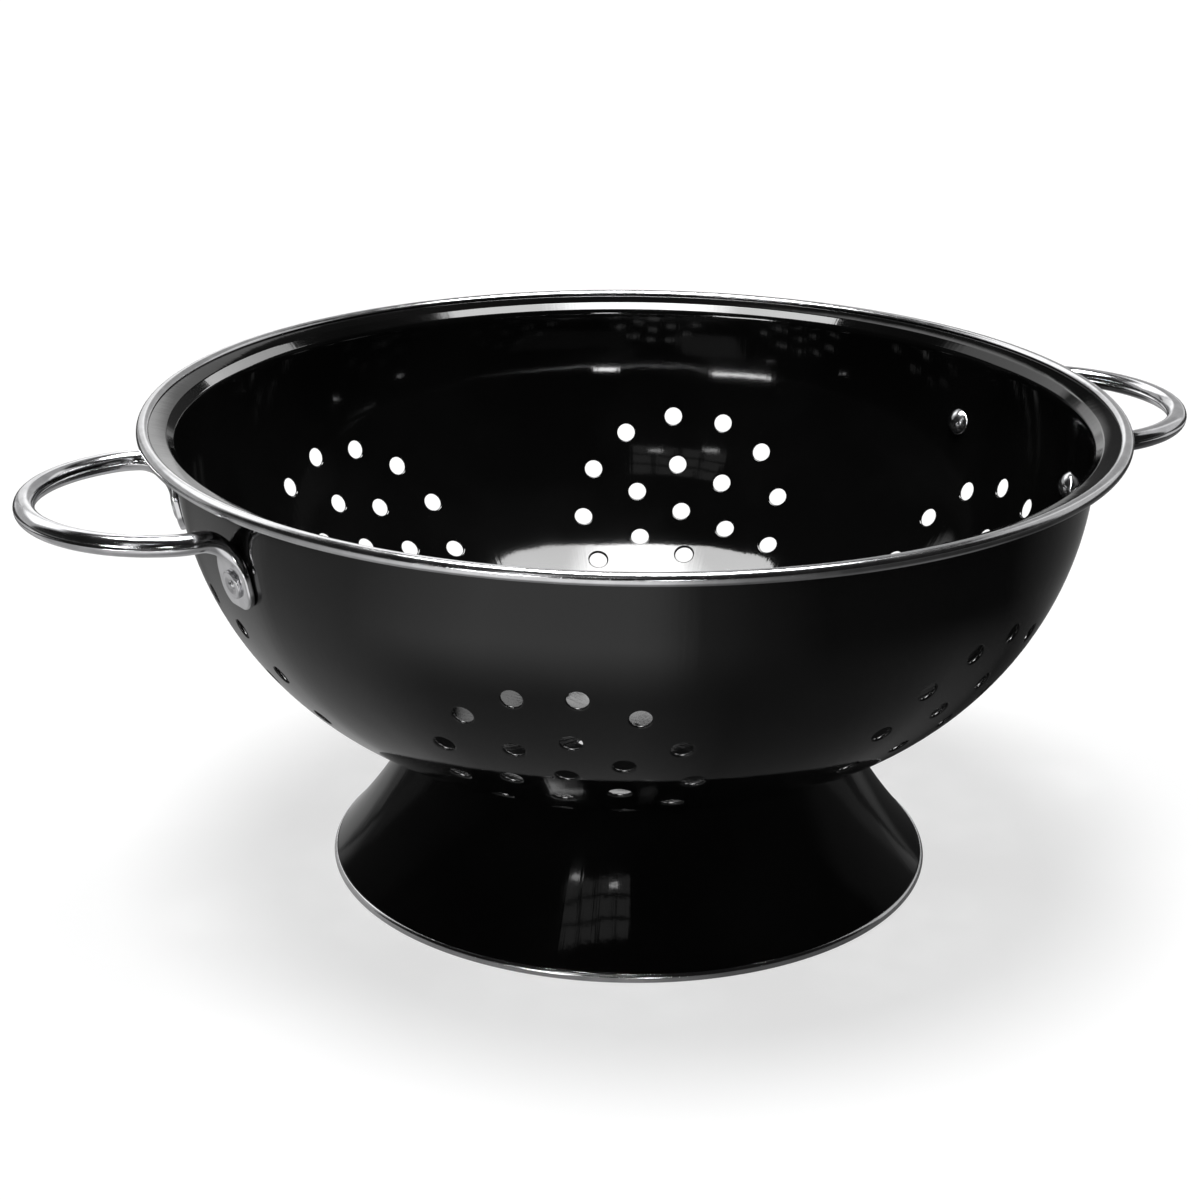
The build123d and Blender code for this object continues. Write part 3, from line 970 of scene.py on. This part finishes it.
for piece, node, slot, finish in (
        (bowl, "bowl", "enamel", enamel),
        (foot, "foot_ring", "enamel", enamel),
        (rim_band, "rim_trim", "stainless_trim", stainless),
        (foot_band, "foot_trim", "stainless_trim", stainless),
        (handle_right, "handle_right", "chromed_wire", chrome),
        (handle_left, "handle_left", "chromed_wire", chrome)):
    piece.data.materials.append(finish)
    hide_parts(node)
    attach(piece, "root")
for node, piece in rivet_pieces.items():
    piece.data.materials.append(plated)
    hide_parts(node)
    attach(piece, "root")


# Studio: directions and places here are the photographer's, to the right, away and up.
# Bearings run from straight away, to the right as positive. Angles are in degrees, but the
# camera's in radians.

STUDIO_TURN = radians(-21.5)
studio = Matrix.Rotation(STUDIO_TURN, 4, "Z")

CAMERA_PLACE = (0.0, -0.73525, 0.35261)
CAMERA_TURN_LEFT = 0.012625
CAMERA_TILT_DOWN = 0.356992
CAMERA_ROLL = 0.009062
CAMERA_LENS = 80.63
CAMERA_SENSOR = 36.0
CAMERA_NEAREST = 0.01
CAMERA_FARTHEST = 50.0

STUDIO_FLOOR_RADIUS = 3.0
FLOOR_STEPS = 96
FLOOR_SHADES = (0.356, 0.36)
FLOOR_GRAIN = (40.0, 2.0, 0.5)
FLOOR_LIFT = 0.66
FLOOR_DROP = 0.02 * MM
# Painted light and shade that mirrors see on the floor in place of its lit face, by bearing
# from the camera's side: close to the foot a painted shadow, in the middle and far away light
# ahead and painted shade on the right, with the radii between which one passes into the next.
# In front, the last two share their stops.
PAINTED_FLOOR_SHADOW_NEAR = ((-180, 0.1), (-95, 0.5), (-85, 0.39), (-60, 0.36), (-40, 0.22), (0, 0.25),
              (20, 0.1), (45, 0.1), (76, 0.15), (104, 0.03), (180, 0.05))
PAINTED_FLOOR_LIGHT_FRONT = ((-60, 0.4), (-45, 0.7), (-30, 1.0), (0, 1.0), (5, 0.9), (14, 0.3), (26, 0.15),
               (39, 0.05), (62, 0.03))
PAINTED_FLOOR_LIGHT_MIDDLE = ((-180, 0.6), (-150, 0.3), (-130, 0.15), (-110, 0.4), (-94, 0.55), (-85, 0.35),
                *PAINTED_FLOOR_LIGHT_FRONT, (90, 0.02), (130, 0.15), (150, 0.3), (180, 0.6))
PAINTED_FLOOR_LIGHT_FAR = ((-180, 0.05), (-100, 0.05), (-85, 0.19), *PAINTED_FLOOR_LIGHT_FRONT, (180, 0.05))
PAINTED_SHADOW_EDGE = (0.165, 0.265)
PAINTED_FLOOR_FAR_EDGE = (0.4, 0.5)

KEY_SPREAD = 23
KEY_STRENGTH = 2.6
KEY_TILT_LEFT = 4
AMBIENT = 0.3

# The oval lamp overhead that the mirrors see: its place, half sizes and brightness, the shares
# of its width from the middle between which that fades, and how much of it is left at the ends
SOFTBOX_PLACE = (-0.023, 0.134, 2.0)
SOFTBOX_HALF_WIDTH = 0.86
SOFTBOX_HALF_DEPTH = 0.45
SOFTBOX_LIGHT = 32.0
SOFTBOX_FADE = (0.11, 0.26)
SOFTBOX_END_LIGHT = 0.48
# Cards that only the metal parts or only the bowl mirror: bearing, elevation, distance in
# metres, width and height as angles, light
METAL_CARDS = (
    (8, 26, 2.4, 74, 50, 0.35),
    (-56, 20, 2.4, 40, 56, 0.42),
    (60, 26, 2.4, 34, 44, 0.55),
    (-157, 8, 2.4, 10, 60, 0.9),
)
BOWL_CARDS = (
    (-6.8, 24.4, 1.16, 17, 20, 0.6),
    (41, 33, 2.4, 28, 26, 5.0),
)
# The backdrop by bearing, and up to which elevations it reaches
BACKDROP_LIGHT = ((-180, 0.0), (-45, 0.03), (-34, 0.05), (-30, 0.4), (-12, 0.7), (-5, 1.1),
                  (-3, 0.9), (1, 0.08), (38, 0.08), (46, 0.06), (75, 0.05), (90, 0.0),
                  (180, 0.0))
BACKDROP_TOP = (18, 24)
CEILING_LIGHT = 0.01
# A light patch of ceiling ahead on the left: bearings, elevations, softness, light
GLOW = ((-66, -5), (24, 47), 4.0, 1.2)
# The floor's far edge: its upper end ahead and behind, where one passes into the other, from
# behind to ahead, and its light by bearing
HORIZON = (3, 7)
HORIZON_BEHIND = (-3, 3)
HORIZON_PASSAGE = (-0.3, 0.5)
HORIZON_LIGHT = ((-180, 0.15), (-90, 0.1), (-45, 0.05), (-34, 0.4), (0, 0.5), (34, 0.4),
                 (45, 0.1), (90, 0.1), (180, 0.15))
# Lamps and window behind the camera: bearings from its side, elevations, softness, light
LAMPS = (
    ((-37, -21), (3.5, 6.5), 0.7, 25.0),
    ((5, 11), (4.2, 6.6), 0.7, 25.0),
    ((-27, -23), (35.2, 36.2), 0.3, 8.0),
    ((-9, -5), (37.6, 38.4), 0.3, 8.0),
)
WINDOW = ((-31, 1.5), (36, 48), 0.6, 0.35)
WINDOW_PANES = (4, 3)
WINDOW_BAR = (0.05, 0.12)

bpy.context.scene.camera = added(
    "camera", bpy.data.cameras.new("camera"),
    studio @ Matrix.Translation(CAMERA_PLACE)
    @ Matrix.Rotation(CAMERA_TURN_LEFT, 4, "Z")
    @ Matrix.Rotation(pi / 2 - CAMERA_TILT_DOWN, 4, "X")
    @ Matrix.Rotation(CAMERA_ROLL, 4, "Z"),
    sensor_width=CAMERA_SENSOR, lens=CAMERA_LENS,
    clip_start=CAMERA_NEAREST, clip_end=CAMERA_FARTHEST)


def floor_material():
    """Pale card that keeps the shadow, and lets the eye through from below. In reflections it
    shows painted light and shade instead of its lit face: a glow by bearing and distance, with a
    painted shadow round the foot and painted shade on the right."""
    made, nodes = material("studio_floor")
    grain = nodes.noise(nodes.place(), *FLOOR_GRAIN)
    shade = nodes.ramp(grain, *CLOUD_LEVELS, *FLOOR_SHADES)
    card = nodes.add("ShaderNodeBsdfDiffuse", {"Color": nodes.grey(shade)})
    path = nodes.add("ShaderNodeLightPath")
    strength = nodes.times(nodes.seen_directly(path), FLOOR_LIFT)
    lift = nodes.add("ShaderNodeEmission", {"Strength": strength})
    card = nodes.add("ShaderNodeAddShader", {0: card.outputs[0], 1: lift.outputs[0]})
    # Painted light and shade: glossy rays see this glow, a painted shadow round the foot and
    # painted shade on the right, not the lit card.
    right, away, _ = nodes.in_studio(nodes.place())
    bearing = nodes.math("ARCTAN2", right, nodes.times(away, -1.0))
    near, middle, far = (nodes.by_bearing(bearing, stops)
                         for stops in (PAINTED_FLOOR_SHADOW_NEAR, PAINTED_FLOOR_LIGHT_MIDDLE, PAINTED_FLOOR_LIGHT_FAR))
    radius = nodes.length(right, away)
    light = nodes.blend(near, middle, nodes.ramp(radius, *PAINTED_SHADOW_EDGE))
    light = nodes.blend(light, far, nodes.ramp(radius, *PAINTED_FLOOR_FAR_EDGE))
    mirrored = nodes.add("ShaderNodeEmission", {"Strength": light})
    card = nodes.add("ShaderNodeMixShader", {0: path.outputs["Is Glossy Ray"],
                                             1: card.outputs[0], 2: mirrored.outputs[0]})
    back = nodes.add("ShaderNodeNewGeometry").outputs["Backfacing"]
    clear = nodes.add("ShaderNodeBsdfTransparent")
    both = nodes.add("ShaderNodeMixShader",
                     {0: back, 1: card.outputs[0], 2: clear.outputs[0]})
    nodes.show("ShaderNodeOutputMaterial", both)
    return made


disc_mesh = bpy.data.meshes.new("studio_floor")
disc_mesh.from_pydata([polar(STUDIO_FLOOR_RADIUS, 2 * pi * step / FLOOR_STEPS, -FLOOR_DROP)
                       for step in range(FLOOR_STEPS)], [], [tuple(range(FLOOR_STEPS))])
disc_mesh.materials.append(floor_material())
disc = added("studio_floor", disc_mesh)


def add_lamp(name, kind, matrix, hidden_from, **settings):
    """Lamp that these kinds of rays don't see."""
    lamp = added(name, bpy.data.lights.new(name, kind), matrix, **settings)
    for rays in hidden_from:
        setattr(lamp, "visible_" + rays, False)
    return lamp


# The key is a wide overhead lamp, a little to the left. Mirrors see an oval softbox instead.
add_lamp("key", "SUN", studio @ Matrix.Rotation(-radians(KEY_TILT_LEFT), 4, "Y"), ["glossy"],
         energy=KEY_STRENGTH, angle=radians(KEY_SPREAD))
softbox = add_lamp("softbox", "AREA", studio @ Matrix.Translation(SOFTBOX_PLACE),
                   ["camera", "diffuse", "transmission"], shape="ELLIPSE",
                   size=2 * SOFTBOX_HALF_WIDTH, size_y=2 * SOFTBOX_HALF_DEPTH,
                   energy=SOFTBOX_LIGHT * pi * pi * SOFTBOX_HALF_WIDTH * SOFTBOX_HALF_DEPTH)
softbox.data.use_nodes = True
nodes = Nodes(softbox.data.node_tree)
across, _, _ = nodes.split(nodes.add("ShaderNodeNewGeometry").outputs["Parametric"])
share = nodes.math("ABSOLUTE", nodes.minus(across, 0.5))
fade = nodes.ramp(share, *SOFTBOX_FADE, 1.0, SOFTBOX_END_LIGHT)
nodes.show("ShaderNodeOutputLight", nodes.add("ShaderNodeEmission", {"Strength": fade}))


def card_of_light(name, parts, bearing, elevation, distance, width, height, light):
    """Card of light that faces the object and shows in these parts only."""
    wide, high = (2 * distance * tan(radians(angle / 2)) for angle in (width, height))
    turn, climb = radians(bearing), radians(elevation)
    toward = Vector((sin(turn) * cos(climb), cos(turn) * cos(climb), sin(climb)))
    facing = toward.to_track_quat("Z", "Y").to_matrix().to_4x4()
    card = add_lamp(name, "AREA", studio @ Matrix.Translation(toward * distance) @ facing,
                    ["camera", "transmission"], shape="RECTANGLE", size=wide, size_y=high,
                    energy=light * pi * wide * high)
    card.light_linking.receiver_collection = parts


for name, parts, cards in (
        ("metal_card", (rim_band, foot_band, handle_right, handle_left,
                        *rivet_pieces.values()), METAL_CARDS),
        ("bowl_card", (bowl,), BOWL_CARDS)):
    lit = bpy.data.collections.new(name)
    for piece in parts:
        lit.objects.link(piece)
    for number, card in enumerate(cards):
        card_of_light(f"{name}_{number}", lit, *card)


def studio_world():
    """The room that mirrors see, a weak even light, and plain white behind the object."""
    world = bpy.data.worlds.new("studio")
    world.use_nodes = True
    bpy.context.scene.world = world
    nodes = Nodes(world.node_tree)
    heading = nodes.add("ShaderNodeTexCoord").outputs["Generated"]
    right, away, up = nodes.in_studio(heading)
    elevation = nodes.math("ARCSINE", up)
    bearing = nodes.math("ARCTAN2", right, away)
    from_camera = nodes.math("ARCTAN2", right, nodes.times(away, -1.0))

    backdrop = nodes.by_bearing(bearing, BACKDROP_LIGHT)
    top = (radians(angle) for angle in BACKDROP_TOP)
    backdrop = nodes.times(backdrop, nodes.ramp(elevation, *top, 1.0, 0.0))
    sides = [nodes.ramp(away, *HORIZON_PASSAGE, radians(behind), radians(ahead))
             for behind, ahead in zip(HORIZON_BEHIND, HORIZON)]
    horizon = nodes.times(nodes.ramp(elevation, *sides, 1.0, 0.0),
                          nodes.by_bearing(bearing, HORIZON_LIGHT))
    horizon = nodes.plus(horizon, CEILING_LIGHT)
    reflected = nodes.math("MAXIMUM", horizon, backdrop)

    def patch(angle, bearings, elevations, soft, strength):
        shape = nodes.times(nodes.between(angle, *bearings, soft),
                            nodes.between(elevation, *elevations, soft))
        return nodes.times(shape, strength)

    for lamp in LAMPS:
        reflected = nodes.plus(reflected, patch(from_camera, *lamp))
    reflected = nodes.plus(reflected, patch(bearing, *GLOW))
    window = patch(from_camera, *WINDOW)
    for angle, (low, high), count in zip((from_camera, elevation), WINDOW[:2], WINDOW_PANES):
        panes = nodes.over(nodes.minus(angle, radians(low)), radians(high - low) / count)
        bar = nodes.math("PINGPONG", panes, 0.5)
        window = nodes.times(window, nodes.ramp(bar, *WINDOW_BAR))
    reflected = nodes.plus(reflected, window)

    path = nodes.add("ShaderNodeLightPath")
    strength = nodes.blend(AMBIENT, reflected, path.outputs["Is Glossy Ray"])
    strength = nodes.math("MAXIMUM", strength, nodes.seen_directly(path))
    background = nodes.add("ShaderNodeBackground", {"Color": (1, 1, 1, 1), "Strength": strength})
    nodes.show("ShaderNodeOutputWorld", background)


studio_world()
bpy.context.scene.view_settings.view_transform = "Standard"
